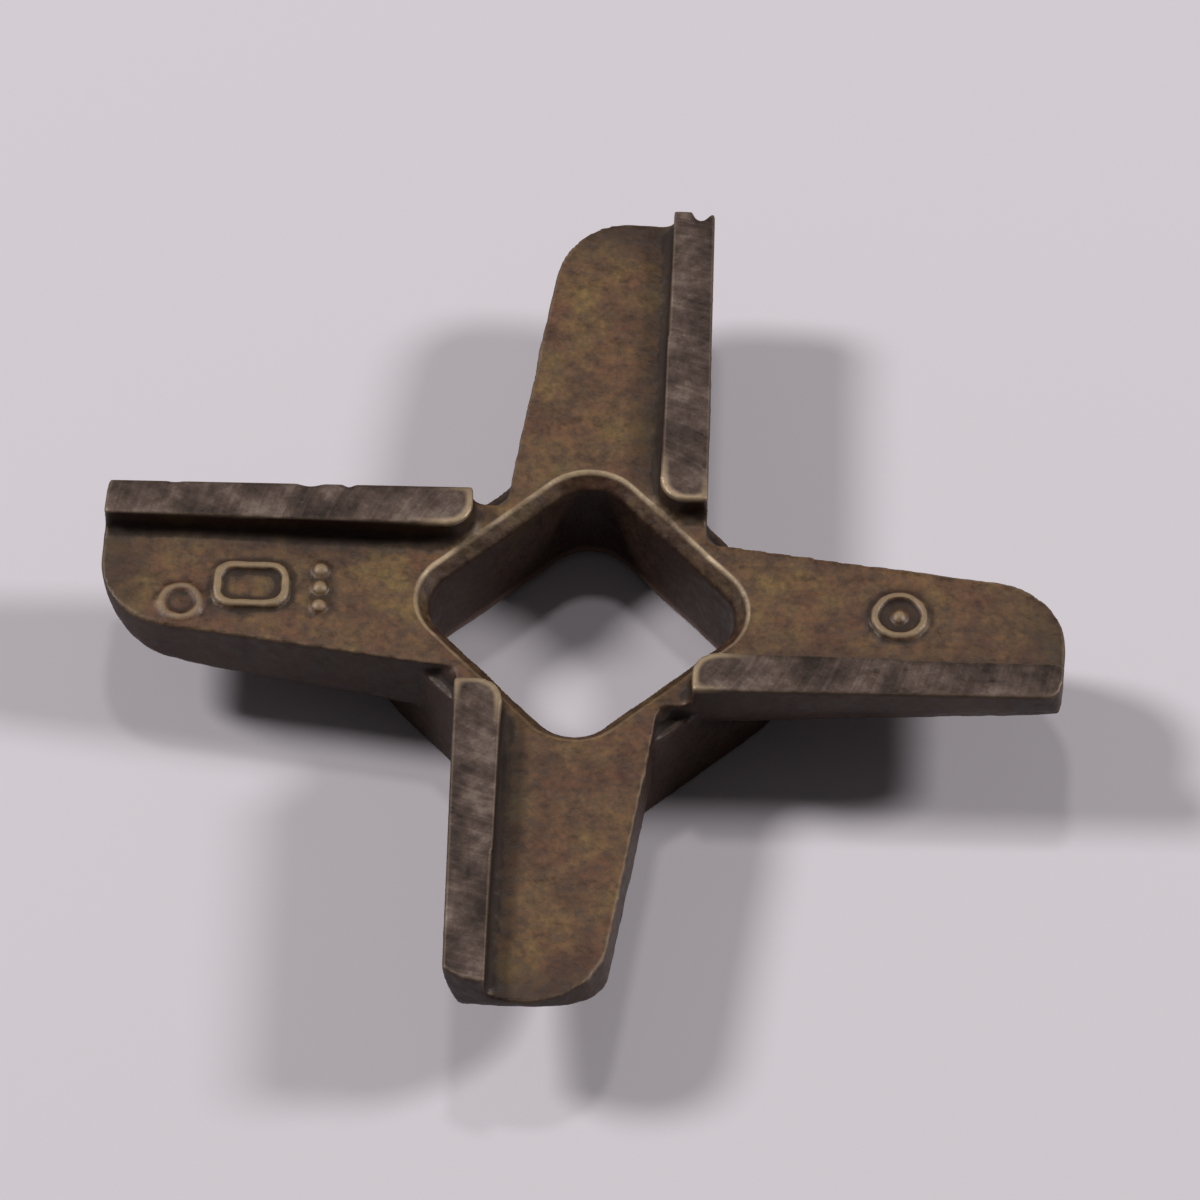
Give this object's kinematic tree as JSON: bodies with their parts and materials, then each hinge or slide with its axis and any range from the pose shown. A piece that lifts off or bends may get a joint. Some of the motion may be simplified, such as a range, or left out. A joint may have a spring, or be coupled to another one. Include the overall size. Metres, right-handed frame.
{
  "type": "meat grinder knife",
  "caption": "Cross-shaped cast grinder knife with raised ground cutting lands along the leading edges of its arms and a square drive hole through a raised hub.",
  "frame": {"origin": "centre of the square drive hole in the plane of the hub's flat back face", "axes": "+Z along the drive hole, from the hub's back towards the cutting lands; +Y along one arm, +X along the next"},
  "size_m": [0.0648, 0.0648, 0.0106],
  "materials": {
    "cast_steel": "oxidised rough casting, mottled brown, with worn grey-brown ground lands"
  },
  "bodies": {
    "root": {"grinder_knife": "cast_steel"}
  },
  "joints": []
}
